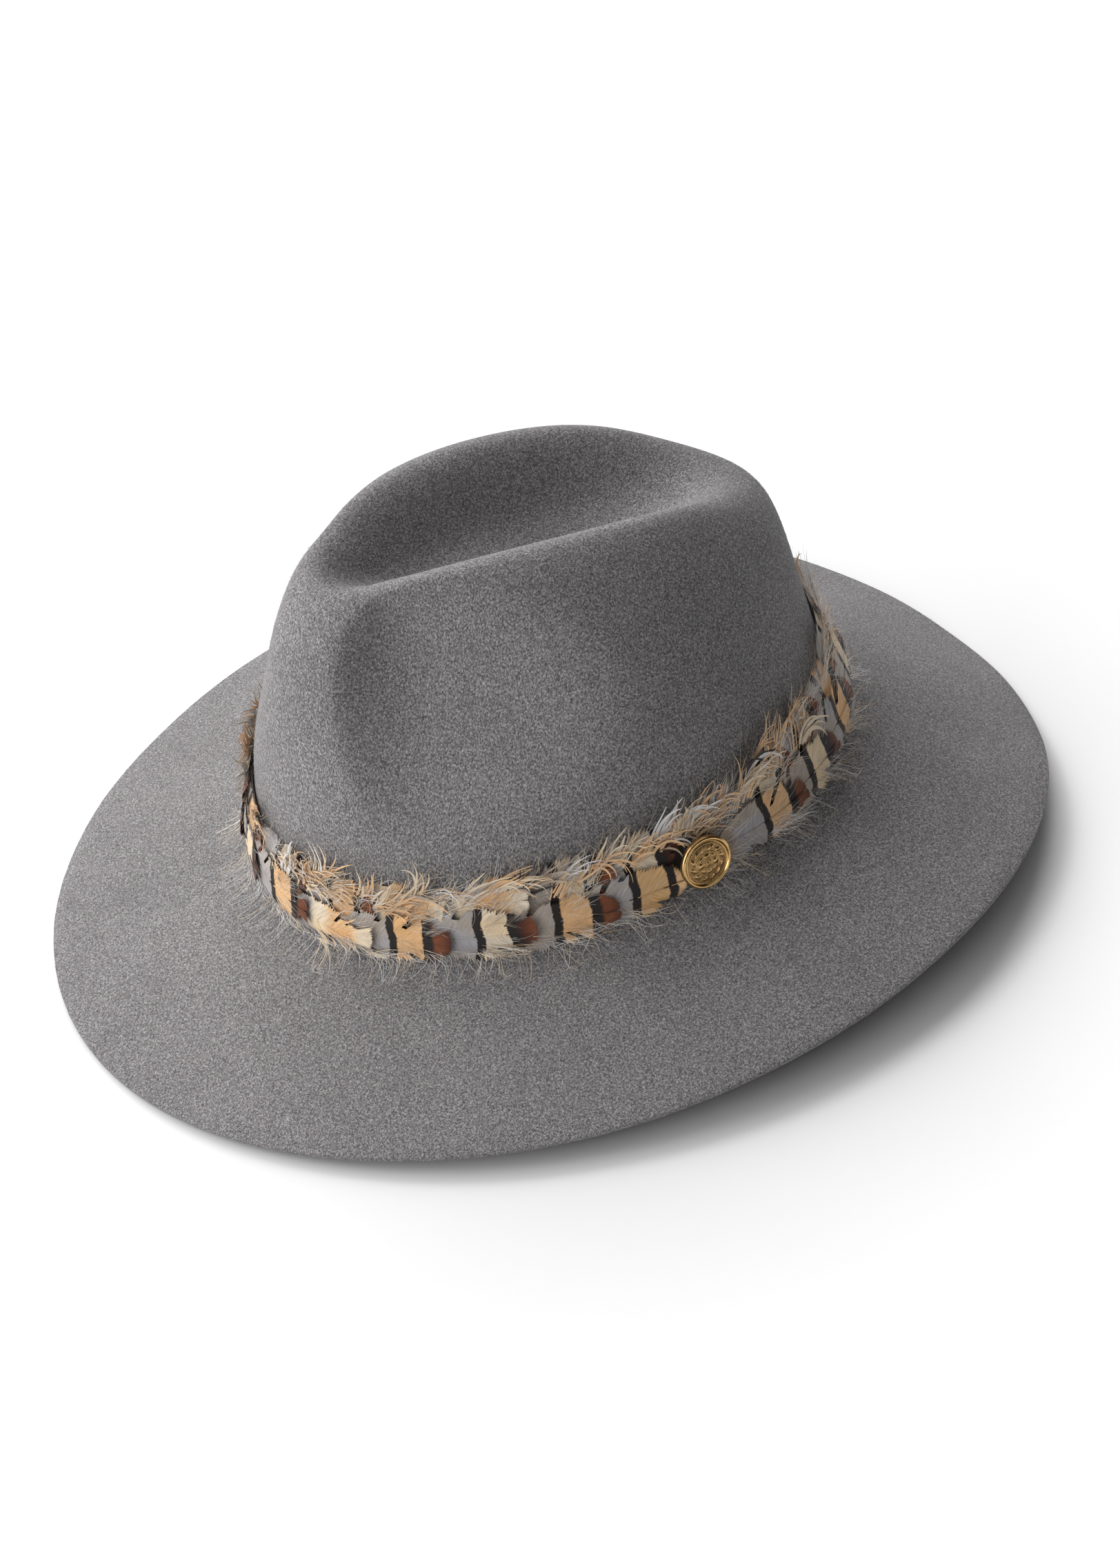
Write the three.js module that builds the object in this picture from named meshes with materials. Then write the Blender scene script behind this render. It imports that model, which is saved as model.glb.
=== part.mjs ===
// Wide-brimmed felt fedora with a feather hatband and a domed metal button.
// Millimetres, +Z up. The wearer faces -Y, the wearer's left is +X. It rests on its brim at z = 0.
import * as THREE from 'three';

// ---- driving dimensions ----
const FELT = 2.4;                  // felt thickness
const AROUND = 64;                 // steps around the hat
const GAP = 0.35;                  // air left between pieces that touch
const SWEATBAND = { thick: 0.9, low: 4, high: 37 };
const LINING = { thick: 0.5, low: 0.4, side: 0.645, tip: 0.67, slack: 0.2 };
const TAPE = { thick: 0.7, low: 5, high: 27 };
const FEATHER = { perRow: 22, length: 41, half: 9.5, thick: 0.35, lift: 0.8 };
const ROWS = [
  { name: 'upper', height: 21.5, tilt: 3.5, off: 1.45 },
  { name: 'lower', height: 11.5, tilt: -2.5, off: 3.65 },
];
const BUTTON = { at: 94, height: 14, radius: 9, dome: 2.0, rim: 0.7, off: 6.6 };
const JOIN_GAP = 8;                // free length of band at its join, under the button

// Control rings of the felt, from the brim's edge up the wall and down into the crown's dent.
// side, front, back: half widths. y: shift. taper: narrower front. sq: squareness.
// pinch, turn, sink: how far the front is pinched in, its place in degrees behind PINCH.at, and its drop.
// z, z1..z4: height, and how it changes with the cosine of 1..4 times the angle from the front.
const RINGS = [
  { side: 145, front: 173, back: 170, y: -2.3, z: 7.1, z1: -2.9, z2: -6, z3: 3, z4: -1 },
  { side: 123, front: 149, back: 147, y: -1.5, z: 15, z1: -4.5, z2: -4.5, z3: 1.5, z4: -0.5 },
  { side: 98, front: 118, back: 116, y: -0.5, z: 27, z1: -7.5, z2: -2, z3: 0.5 },
  { side: 84.5, front: 102.5, back: 101, y: 0, z: 32, z1: -9.4, z2: -1.3 },
  { side: 82.5, front: 100.5, back: 97, y: -0.5, z: 43, z1: -9, z2: -1.3 },
  { side: 79, front: 96, back: 94.5, y: -2.5, taper: -0.08, sq: 0.005, z: 68, z1: -0.5, z2: -5,
    pinch: 3, turn: 10 },
  { side: 69.5, front: 89, back: 90.5, y: -3.5, taper: -0.04, sq: -0.02, z: 97.5, z1: -2, z2: 1, z3: -2.8,
    pinch: 6, turn: 3 },
  { side: 53.5, front: 79.5, back: 88, y: -7.5, taper: 0.06, sq: -0.02, z: 122.4, z1: 3.5, z2: -1.8, z3: -3, z4: -1,
    pinch: 5, turn: 5, sink: 2 },
  { side: 31, front: 65.5, back: 67.5, y: -7.5, taper: 0.05, sq: 0.05, z: 142.9, z1: 8.3, z2: -11, z3: 0.4, z4: -1,
    pinch: 2.5, turn: -2, sink: 1.6 },
  { side: 16.5, front: 57, back: 58, y: -7.3, taper: 0.14, sq: 0.02, z: 125.2, z1: 8.7, z2: 0.5, z3: -0.3, pinch: 4 },
  { side: 8.5, front: 43, back: 40, y: -9.5, taper: 0.1, z: 120.6, z1: 6.2, z2: 1.1 },
  { side: 0, front: 25, back: 20, y: -10, z: 118.6, z1: 4 },
];
const BREAK = 3;                                  // the ring where the wall meets the brim
const PINCH = { at: 42, ahead: 18, behind: 34, lean: 15 };   // where the crown narrows at the front, degrees
// The thumb hollow on each side: degrees from the front, height along the surface, its reach and its depth.
const THUMB = { at: 45, ahead: 23, behind: 50, middle: 0.608, half: 0.165, depth: 10.5, power: 1.5, lean: 8 };

const rad = (d) => (d * Math.PI) / 180;
const TAU = 2 * Math.PI;

// ---- the felt's outer surface ----
function ringPoint(r, t) {
  const c = Math.cos(t), s = Math.sin(t), k = r.sq || 0;
  const reach = (r.front + r.back) / 2 + ((r.front - r.back) / 2) * c;
  let x = ((r.side * (s + k * Math.sin(3 * t))) / (1 - k)) * (1 - (r.taper || 0) * c);
  let y = r.y - (reach * (c - k * Math.cos(3 * t))) / (1 - k);
  let z = r.z + (r.z1 || 0) * c + (r.z2 || 0) * Math.cos(2 * t)
    + (r.z3 || 0) * Math.cos(3 * t) + (r.z4 || 0) * Math.cos(4 * t);
  for (const hand of [1, -1]) {
    if (!r.pinch) break;
    const at = hand * rad(PINCH.at + (r.turn || 0));
    let d = hand * Math.atan2(Math.sin(t - at), Math.cos(t - at));
    d /= rad(d < 0 ? PINCH.ahead : PINCH.behind);
    const g = Math.exp(-d * d), a = hand * rad(PINCH.at + PINCH.lean);
    x -= r.pinch * g * Math.sin(a);
    y += r.pinch * g * Math.cos(a);
    z -= (r.sink || 0) * g;
  }
  return [x, y, z];
}

// Clamped cubic B-spline weights of n control points at s in 0..1.
function weights(n, s) {
  const spans = n - 3;
  const knot = (i) => Math.min(Math.max(i - 3, 0), spans) / spans;
  const u = Math.min(Math.max(s, 0), 1 - 1e-9);
  let w = Array.from({ length: n + 3 }, (_, i) => (u >= knot(i) && u < knot(i + 1) ? 1 : 0));
  for (let d = 1; d <= 3; d++) {
    w = w.slice(0, -1).map((v, i) => {
      const a = knot(i + d) - knot(i), b = knot(i + d + 1) - knot(i + 1);
      return (a > 0 ? ((u - knot(i)) / a) * v : 0) + (b > 0 ? ((knot(i + d + 1) - u) / b) * w[i + 1] : 0);
    });
  }
  return w;
}
const outer = (t, s) => {
  const p = new THREE.Vector3();
  weights(RINGS.length, s).forEach((w, i) => {
    if (w > 0) p.addScaledVector(new THREE.Vector3(...ringPoint(RINGS[i], t)), w);
  });
  for (const hand of [1, -1]) {
    const d = Math.atan2(Math.sin(hand * t - rad(THUMB.at)), Math.cos(hand * t - rad(THUMB.at)));
    const a = d / rad(d < 0 ? THUMB.ahead : THUMB.behind), b = (s - THUMB.middle) / THUMB.half;
    const q = THUMB.depth * Math.max(0, 1 - a * a - b * b) ** THUMB.power;
    p.x -= q * hand * Math.sin(rad(THUMB.at + THUMB.lean));
    p.y += q * Math.cos(rad(THUMB.at + THUMB.lean));
  }
  return p;
};
function outward(t, s) {
  const e = 1e-3, end = s > 0.995;
  const a = outer(t + e, end ? 0.995 : s).sub(outer(t - e, end ? 0.995 : s));
  const b = outer(t, Math.min(s + e, 1)).sub(outer(t, Math.max(s - e, 0)));
  const n = a.cross(b).normalize();
  if (end) n.setX(0).normalize();
  return n;
}
// A point d mm outside (or inside, if negative) the felt's outer surface.
const offset = (t, s, d) => outer(t, s).addScaledVector(outward(t, s), d);

// The hat's rest: the brim's lowest points at z = 0, and its length centred on y = 0.
function restShift() {
  let low = 1e9, y0 = 1e9, y1 = -1e9;
  for (let i = 0; i < AROUND; i++) {
    const t = (TAU * i) / AROUND, edge = offset(t, 0, -FELT);
    low = Math.min(low, edge.z);
    for (const d of [0, -FELT / 2, -FELT]) {
      const p = rimPoint(t, d);
      y0 = Math.min(y0, p.y);
      y1 = Math.max(y1, p.y);
      low = Math.min(low, p.z);
    }
  }
  return new THREE.Vector3(0, -(y0 + y1) / 2, -low);
}
// The cut edge of the brim: square, with its middle a little proud.
function rimPoint(t, d) {
  const out = outer(t, 0).sub(outer(t, 0.01)).normalize();
  const proud = 0.35 * (1 - Math.abs(d + FELT / 2) / (FELT / 2));
  return offset(t, 0, d).addScaledVector(out, proud);
}
const REST = restShift();

// ---- the wall as a sheet: length along the band, height above the brim ----
const breakHeight = (t) => ringPoint(RINGS[BREAK], t)[2];
function wallAt(t, height) {
  let lo = 0.2, hi = 0.66;
  for (let k = 0; k < 32; k++) {
    const mid = (lo + hi) / 2;
    if (outer(t, mid).z < breakHeight(t) + height) lo = mid; else hi = mid;
  }
  return lo;
}
const wall = (t, height, d) => offset(t, wallAt(t, height), d);
const ARC = (() => {
  const steps = 720, table = [0];
  const at = (i) => ringPoint(RINGS[4], (TAU * i) / steps + rad(BUTTON.at));
  for (let i = 1; i <= steps; i++) {
    const a = at(i - 1), b = at(i);
    table.push(table[i - 1] + Math.hypot(a[0] - b[0], a[1] - b[1]));
  }
  return table;
})();
const BAND_LENGTH = ARC[ARC.length - 1];
// Angle of the point u mm along the band from its join, towards the back of the hat first.
function angleAt(u) {
  const v = ((u % BAND_LENGTH) + BAND_LENGTH) % BAND_LENGTH;
  let i = 1;
  while (ARC[i] < v) i++;
  const f = (v - ARC[i - 1]) / (ARC[i] - ARC[i - 1]);
  return rad(BUTTON.at) + (TAU * (i - 1 + f)) / (ARC.length - 1);
}

// ---- mesh helpers ----
const root = new THREE.Group();
root.name = 'felt_fedora';
function add(name, color, metal, rough, points, faces) {
  const used = new Map(), pos = [], idx = [];
  for (const f of faces) for (const p of f) {
    if (!used.has(p)) {
      used.set(p, used.size);
      pos.push(points[p].x + REST.x, points[p].y + REST.y, points[p].z + REST.z);
    }
    idx.push(used.get(p));
  }
  if (volume(pos, idx) < 0) for (let i = 0; i < idx.length; i += 3) [idx[i], idx[i + 1]] = [idx[i + 1], idx[i]];
  const g = new THREE.BufferGeometry();
  g.setAttribute('position', new THREE.Float32BufferAttribute(pos, 3));
  g.setIndex(idx);
  g.computeVertexNormals();
  const m = new THREE.Mesh(g, new THREE.MeshStandardMaterial({ color, metalness: metal, roughness: rough }));
  m.name = name;
  root.add(m);
}
function volume(pos, idx) {
  const v = (i) => new THREE.Vector3(pos[3 * i], pos[3 * i + 1], pos[3 * i + 2]);
  let sum = 0;
  for (let i = 0; i < idx.length; i += 3) sum += v(idx[i]).dot(v(idx[i + 1]).cross(v(idx[i + 2])));
  return sum;
}
// A tube of loops: loops[i] is a closed loop of points; the loops join end to end, or are capped.
function loft(loops, closed) {
  const n = loops[0].length, points = loops.flat(), faces = [];
  const last = closed ? loops.length : loops.length - 1;
  for (let i = 0; i < last; i++) for (let j = 0; j < n; j++) {
    const a = i * n + j, b = i * n + ((j + 1) % n), i2 = (i + 1) % loops.length;
    const c = i2 * n + ((j + 1) % n), d = i2 * n + j;
    faces.push([a, b, c], [a, c, d]);
  }
  if (!closed) for (let j = 1; j < n - 1; j++) {
    faces.push([0, j + 1, j]);
    const o = (loops.length - 1) * n;
    faces.push([o, o + j, o + j + 1]);
  }
  return [points, faces];
}
// The loop around a thin band's section: up its outside, down its inside.
const section = (t, levels, d1, d2) => [
  ...levels.map((s) => offset(t, s, d1)),
  ...levels.slice().reverse().map((s) => offset(t, s, d2)),
];
const between = (a, b, n) => Array.from({ length: n + 1 }, (_, i) => a + ((b - a) * i) / n);
function ringBand(name, look, levels, d1, d2) {
  const loops = between(0, TAU, AROUND).slice(0, -1).map((t) => section(t, levels(t), d1, d2));
  add(name, ...look, ...loft(loops, true));
}
function ringTube(name, look, height, d, r) {
  const loops = between(0, TAU, AROUND).slice(0, -1).map((t) => {
    const s = wallAt(t, height), c = offset(t, s, d), n = outward(t, s);
    const up = outer(t, s + 0.01).sub(outer(t, s - 0.01)).normalize();
    return between(0, TAU, 6).slice(0, -1).map((a) => c.clone()
      .addScaledVector(n, r * Math.cos(a)).addScaledVector(up, r * Math.sin(a)));
  });
  add(name, ...look, ...loft(loops, true));
}
// A closed cap over the crown from level s0 to the middle of the dent, d1 to d2 off the surface.
function cap(name, look, levels, d1, d2, rim) {
  const points = [], faces = [], half = AROUND / 2, id = [];
  const put = (p) => points.push(p) - 1;
  const tOf = (i) => (TAU * i) / AROUND;
  const rowsOf = (d) => levels.map((s, j) => {
    const ids = [];
    for (let i = 0; i < AROUND; i++) {
      const folded = j === levels.length - 1 && i > half;
      ids.push(folded ? ids[AROUND - i] : put(offset(tOf(i), s, d)));
    }
    return ids;
  });
  const top = rowsOf(d1), bottom = rowsOf(d2);
  if (rim) {
    const edge = (d) => top[0].map((_, i) => put(rimPoint(tOf(i), d)));
    id.push(edge((d1 + d2) / 2));
  }
  const strip = (a, b, under) => {
    for (let i = 0; i < AROUND; i++) {
      const k = (i + 1) % AROUND;
      if (a[i] !== a[k]) faces.push(under ? [a[i], b[k], a[k]] : [a[i], a[k], b[k]]);
      if (b[i] !== b[k]) faces.push(under ? [a[i], b[i], b[k]] : [a[i], b[k], b[i]]);
    }
  };
  for (let j = 0; j < levels.length - 1; j++) {
    strip(top[j], top[j + 1], false);
    strip(bottom[j], bottom[j + 1], true);
  }
  const chain = [bottom[0], ...id, top[0]];
  for (let j = 0; j < chain.length - 1; j++) strip(chain[j], chain[j + 1], false);
  add(name, ...look, points, faces);
}
// A flat leaf laid along the wall. Each station is {u, h, w, d}: place, half width, distance out.
function leaf(name, look, stations, thick) {
  const loops = stations.map(({ u, h, w, d }) => {
    const t = angleAt(u), across = [-1, 0, 1];
    return [
      ...across.map((k) => wall(t, h + k * w, d + thick)),
      ...across.slice().reverse().map((k) => wall(t, h + k * w, d)),
    ];
  });
  add(name, ...look, ...loft(loops, false));
}

// ---- the felt, its lining and its sweatband ----
const LEVELS = [0, 0.04, 0.08, 0.12, 0.155, 0.185, 0.21, 0.235, 0.26, 0.285, 0.315, 0.35, 0.4,
  0.45, 0.5, 0.545, 0.585, 0.62, 0.65, 0.68, 0.71, 0.74, 0.77, 0.8, 0.84, 0.88, 0.92, 0.96, 1];
cap('felt_body', [0x74716f, 0, 0.95], LEVELS, 0, -FELT, true);

const SATIN = [0x3b3a44, 0, 0.45];
const backing = -(FELT + GAP + 0.1);
const liningTop = LEVELS.filter((s) => s > LINING.tip);
cap('lining_tip', SATIN, liningTop, backing - LINING.slack, backing - LINING.slack - LINING.thick, false);
const liningLevels = [...LEVELS.filter((s) => s >= LINING.low && s < LINING.side - 0.01), LINING.side];
ringBand('lining_side', SATIN, () => liningLevels, backing, backing - LINING.thick);
const band = backing - LINING.thick - 2 * GAP;
ringBand('sweatband', [0x2f211a, 0, 0.5],
  (t) => between(wallAt(t, SWEATBAND.low), wallAt(t, SWEATBAND.high), 5), band, band - SWEATBAND.thick);
ringTube('sweatband_reed', [0xd8d2c4, 0, 0.4], SWEATBAND.low + 0.8, -(FELT + 0.4 * GAP + 0.42), 0.32);
const inside = band - SWEATBAND.thick - GAP;
const BACK_U = (() => {
  let u = 0;
  while (angleAt(u) < Math.PI) u += 0.25;
  return u;
})();
leaf('sweatband_bow', [0x1d1c20, 0, 0.6],
  [[-11, 2.4], [-9, 3.2], [-5, 2.6], [-1.6, 1.1], [-1.5, 1.8], [1.5, 1.8], [1.6, 1.1], [5, 2.6], [9, 3.2], [11, 2.4]]
    .map(([du, w]) => ({ u: BACK_U + du, h: SWEATBAND.low + 6, w, d: inside - 1.2 })), 1.2);

// ---- the hatband ----
const RIBBON = [0x3a332e, 0, 0.85];
const outerGap = GAP + 0.1;
const tapeSteps = between(0.6, BAND_LENGTH - 0.6, AROUND);
add('hatband_tape', ...RIBBON, ...loft(tapeSteps.map((u) => {
  const t = angleAt(u);
  return section(t, between(wallAt(t, TAPE.low), wallAt(t, TAPE.high), 4), outerGap + TAPE.thick, outerGap);
}), false));
const patchOff = outerGap + TAPE.thick + GAP - 0.05;
leaf('hatband_join_patch', RIBBON, [-3.4, 0, 3.4].map((du) => (
  { u: BAND_LENGTH + du, h: 16, w: 10, d: patchOff })), 0.35);

const OUTLINE = [[0, 0.12], [0.12, 0.45], [0.3, 0.8], [0.5, 0.98], [0.7, 1], [0.87, 0.8], [1, 0.38]];
const FEATHER_LOOK = [[0xb49a78, 0, 0.8], [0x8d8984, 0, 0.8], [0xa9774f, 0, 0.8]];
const pitch = (BAND_LENGTH - JOIN_GAP - FEATHER.length) / (FEATHER.perRow - 1);
ROWS.forEach((row, r) => {
  for (let i = 0; i < FEATHER.perRow; i++) {
    const sway = Math.sin(i * 2.4 + r) * 0.8, start = JOIN_GAP / 2 + i * pitch;
    const stations = OUTLINE.map(([f, w]) => ({
      u: start + f * FEATHER.length,
      h: row.height + sway + row.tilt * (f - 0.5),
      w: FEATHER.half * w,
      d: row.off + (FEATHER.lift * f * FEATHER.length) / pitch,
    }));
    const name = `feather_${row.name}_${String(i + 1).padStart(2, '0')}`;
    leaf(name, FEATHER_LOOK[(i + r) % 3], stations, FEATHER.thick);
  }
});

// ---- the button, on an axis square to the wall ----
const BRASS = [0xc79a3e, 0.9, 0.35];
const bt = rad(BUTTON.at), bs = wallAt(bt, BUTTON.height);
const foot = outer(bt, bs), axis = outward(bt, bs);
const alongBand = new THREE.Vector3(0, 0, 1).cross(axis).normalize();
const upBand = axis.clone().cross(alongBand).normalize();
const place = (x, y, d) => foot.clone().addScaledVector(alongBand, x)
  .addScaledVector(upBand, y).addScaledVector(axis, d);
// Turned solid from its axis out and back: profile is [radius, distance] with both ends on the axis.
function turned(name, look, profile, sides) {
  const inner = profile.slice(1, -1), points = [place(0, 0, profile[0][1])];
  const end = profile[profile.length - 1], faces = [];
  for (const [r, d] of inner) for (let k = 0; k < sides; k++) {
    points.push(place(r * Math.cos((TAU * k) / sides), r * Math.sin((TAU * k) / sides), d));
  }
  points.push(place(0, 0, end[1]));
  const at = (j, k) => 1 + j * sides + (k % sides), lastPoint = points.length - 1;
  for (let k = 0; k < sides; k++) {
    faces.push([0, at(0, k), at(0, k + 1)]);
    for (let j = 0; j < inner.length - 1; j++) {
      faces.push([at(j, k), at(j + 1, k), at(j + 1, k + 1)], [at(j, k), at(j + 1, k + 1), at(j, k + 1)]);
    }
    faces.push([lastPoint, at(inner.length - 1, k + 1), at(inner.length - 1, k)]);
  }
  add(name, ...look, points, faces);
}
const R = BUTTON.radius, B0 = BUTTON.off;
turned('button_front', BRASS, [
  [0, B0 + 0.9 + BUTTON.dome], [R * 0.3, B0 + 0.85 + BUTTON.dome], [R * 0.6, B0 + 0.45 + BUTTON.dome],
  [R - 2.0, B0 + 1.9], [R - 1.5, B0 + 1.6], [R - 1.1, B0 + 1.6 + BUTTON.rim], [R - 0.5, B0 + 1.5 + BUTTON.rim],
  [R, B0 + 1.5], [R, B0 + 0.5], [R - 0.6, B0 - 0.1], [R - 1.0, B0 - 0.1], [R - 1.0, B0 + 0.95],
  [0, B0 + 1.5],
], 40);
turned('button_back', BRASS, [
  [0, B0 + 0.6], [R - 1.4, B0 + 0.45], [R - 1.4, B0 + 0.1], [R * 0.5, B0 - 0.25], [0, B0 - 0.3],
], 40);
// Wire loops: the shank, and the thread that passes through it into the band.
function wireArc(name, look, from, to, steps, ring, wire, centre, closed, sideways) {
  const angles = between(from, to, steps), loops = (closed ? angles.slice(0, -1) : angles).map((a) => {
    const c = Math.cos(a), s = Math.sin(a);
    return between(0, TAU, 8).slice(0, -1).map((b) => {
      const r = ring + wire * Math.cos(b), w = wire * Math.sin(b);
      return sideways ? place(w, r * c, centre + r * s) : place(r * c, w, centre + r * s);
    });
  });
  add(name, ...look, ...loft(loops, closed));
}
wireArc('button_shank', BRASS, 0, TAU, 24, 1.45, 0.42, B0 - 2.55, true, false);
wireArc('button_thread', [0x4a4038, 0, 0.8], 0.02, Math.PI - 0.02, 14, 1.8, 0.3,
  B0 - 2.75 - 1.8 + 0.45, false, true);

export default root;
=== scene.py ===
"""Wide-brimmed grey felt fedora with a feather band: its looks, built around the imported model.

Lengths in the shape code are millimetres in the hat's own frame.
M() turns them into metres in the shared frame.
"""
import math

import bpy
import numpy as np
from mathutils import Matrix, Vector


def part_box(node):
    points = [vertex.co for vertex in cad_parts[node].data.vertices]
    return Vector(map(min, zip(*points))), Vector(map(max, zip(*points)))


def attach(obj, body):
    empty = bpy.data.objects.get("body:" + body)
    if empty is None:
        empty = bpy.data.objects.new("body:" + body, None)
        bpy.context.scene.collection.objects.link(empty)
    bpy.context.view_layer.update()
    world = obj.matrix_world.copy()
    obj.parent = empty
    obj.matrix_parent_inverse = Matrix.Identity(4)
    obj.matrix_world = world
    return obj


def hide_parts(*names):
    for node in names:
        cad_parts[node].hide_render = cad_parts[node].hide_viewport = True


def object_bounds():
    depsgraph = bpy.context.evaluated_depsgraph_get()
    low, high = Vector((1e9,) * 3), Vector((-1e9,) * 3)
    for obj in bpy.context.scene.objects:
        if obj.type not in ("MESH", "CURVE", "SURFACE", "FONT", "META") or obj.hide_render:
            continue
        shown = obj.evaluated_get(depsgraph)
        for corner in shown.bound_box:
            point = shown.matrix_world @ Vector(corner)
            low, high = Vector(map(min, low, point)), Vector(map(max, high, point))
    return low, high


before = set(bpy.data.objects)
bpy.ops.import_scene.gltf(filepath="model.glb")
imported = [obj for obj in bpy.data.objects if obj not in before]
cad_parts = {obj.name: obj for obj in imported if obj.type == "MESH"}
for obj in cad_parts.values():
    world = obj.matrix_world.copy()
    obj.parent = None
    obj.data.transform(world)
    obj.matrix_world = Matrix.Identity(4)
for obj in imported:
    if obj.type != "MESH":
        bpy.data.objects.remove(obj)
cad_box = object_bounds()
TAU = 2 * math.pi

# ---------------------------------------------------------------- the felt's surface
FELT = 2.4
# side, front, back, y, taper, squareness, z, z1, z2, z3, z4, pinch, turn, sink
RINGS = np.array([
    [145, 173, 170, -2.3, 0, 0, 7.1, -2.9, -6, 3, -1, 0, 0, 0],
    [123, 149, 147, -1.5, 0, 0, 15, -4.5, -4.5, 1.5, -0.5, 0, 0, 0],
    [98, 118, 116, -0.5, 0, 0, 27, -7.5, -2, 0.5, 0, 0, 0, 0],
    [84.5, 102.5, 101, 0, 0, 0, 32, -9.4, -1.3, 0, 0, 0, 0, 0],
    [82.5, 100.5, 97, -0.5, 0, 0, 43, -9, -1.3, 0, 0, 0, 0, 0],
    [79, 96, 94.5, -2.5, -0.08, 0.005, 68, -0.5, -5, 0, 0, 3, 10, 0],
    [69.5, 89, 90.5, -3.5, -0.04, -0.02, 97.5, -2, 1, -2.8, 0, 6, 3, 0],
    [53.5, 79.5, 88, -7.5, 0.06, -0.02, 122.4, 3.5, -1.8, -3, -1, 5, 5, 2],
    [31, 65.5, 67.5, -7.5, 0.05, 0.05, 142.9, 8.3, -11, 0.4, -1, 2.5, -2, 1.6],
    [16.5, 57, 58, -7.3, 0.14, 0.02, 125.2, 8.7, 0.5, -0.3, 0, 4, 0, 0],
    [8.5, 43, 40, -9.5, 0.1, 0, 120.6, 6.2, 1.1, 0, 0, 0, 0, 0],
    [0, 25, 20, -10, 0, 0, 118.6, 4, 0, 0, 0, 0, 0, 0],
])
PINCH_AT, PINCH_AHEAD, PINCH_BEHIND, PINCH_LEAN = np.radians([42, 18, 34, 15])
THUMB_AT, THUMB_AHEAD, THUMB_BEHIND, THUMB_LEAN = np.radians([45, 23, 50, 8])
THUMB_MIDDLE, THUMB_HALF, THUMB_DEPTH, THUMB_POWER = 0.608, 0.165, 10.5, 1.5
BUTTON_AT = math.radians(94)


def ring_points(t):
    """The control rings at the angles t: (rings, angles, 3)."""
    side, front, back, yc, taper, k, z0, z1, z2, z3, z4, pinch, turn, sink = RINGS.T[:, :, None]
    c, s = np.cos(t), np.sin(t)
    reach = (front + back) / 2 + (front - back) / 2 * c
    x = side * (s + k * np.sin(3 * t)) / (1 - k) * (1 - taper * c)
    y = yc - reach * (c - k * np.cos(3 * t)) / (1 - k)
    z = z0 + z1 * c + z2 * np.cos(2 * t) + z3 * np.cos(3 * t) + z4 * np.cos(4 * t)
    for hand in (1, -1):
        d = hand * np.angle(np.exp(1j * (t - hand * (PINCH_AT + np.radians(turn)))))
        d = np.where(d < 0, d / PINCH_AHEAD, d / PINCH_BEHIND)
        g, a = np.exp(-d * d), hand * (PINCH_AT + PINCH_LEAN)
        x = x - pinch * g * math.sin(a)
        y = y + pinch * g * math.cos(a)
        z = z - sink * g
    return np.stack(np.broadcast_arrays(x, y, z), -1)


def weights(s):
    """Clamped cubic B-spline weights at s: (len(s), rings)."""
    n = len(RINGS)
    knots = np.clip(np.arange(n + 4) - 3, 0, n - 3) / (n - 3)
    s = np.clip(s, 0, 1 - 1e-9)[:, None]
    w = ((s >= knots[:-1]) & (s < knots[1:])).astype(float)
    for d in (1, 2, 3):
        a, b = knots[d:-1] - knots[:-1 - d], knots[d + 1:] - knots[1:-d]
        with np.errstate(divide="ignore", invalid="ignore"):
            up = np.where(a > 0, (s - knots[:-1 - d]) / a, 0)
            down = np.where(b > 0, (knots[d + 1:] - s) / b, 0)
        w = up * w[:, :-1] + down * w[:, 1:]
    return w


def hollowed(p, t, s):
    """The points with the thumb hollows pressed in on both sides."""
    p = p.copy()
    for hand in (1, -1):
        d = np.angle(np.exp(1j * (hand * t - THUMB_AT)))
        a, b = d / np.where(d < 0, THUMB_AHEAD, THUMB_BEHIND), (s - THUMB_MIDDLE) / THUMB_HALF
        q = THUMB_DEPTH * np.clip(1 - a * a - b * b, 0, None) ** THUMB_POWER
        p[..., 0] -= q * hand * math.sin(THUMB_AT + THUMB_LEAN)
        p[..., 1] += q * math.cos(THUMB_AT + THUMB_LEAN)
    return p


def surface(t, s):
    """Points of the felt's outer face at the pairs (t, s)."""
    return hollowed(np.einsum("nk,knc->nc", weights(s), ring_points(t)), t, s)


def unit(v):
    return v / np.maximum(np.linalg.norm(v, axis=-1, keepdims=True), 1e-12)


def outward(t, s):
    e, end = 1e-3, s > 0.995
    s0 = np.where(end, 0.995, s)
    a = surface(t + e, s0) - surface(t - e, s0)
    b = surface(t, np.minimum(s + e, 1)) - surface(t, np.maximum(s - e, 0))
    n = unit(np.cross(a, b))
    n[end, 0] = 0
    return unit(n)


def grid(t, s):
    """Points and normals over every t and s: (len(s), len(t), 3) each."""
    tt, ss = np.meshgrid(t, s)
    shape = (len(s), len(t), 3)
    return surface(tt.ravel(), ss.ravel()).reshape(shape), outward(tt.ravel(), ss.ravel()).reshape(shape)


# The hat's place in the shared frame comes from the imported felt's own box.
_t = np.linspace(0, TAU, 65)[:-1]
_p, _n = grid(_t, np.array([0.0]))
_low, _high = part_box("felt_body")
_out = unit(_p[0] - surface(_t, np.full(64, 0.01))) * 0.35
_mid = _p[0] - _n[0] * FELT / 2 + _out
_all = np.concatenate([_p[0], _p[0] - _n[0] * FELT, _mid])
SHIFT = np.array([0, (_low.y + _high.y) * 500 - (_all[:, 1].min() + _all[:, 1].max()) / 2,
                  _low.z * 1000 - _all[:, 2].min()])


def M(p):
    return (np.asarray(p, float) + SHIFT) * 0.001


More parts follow.
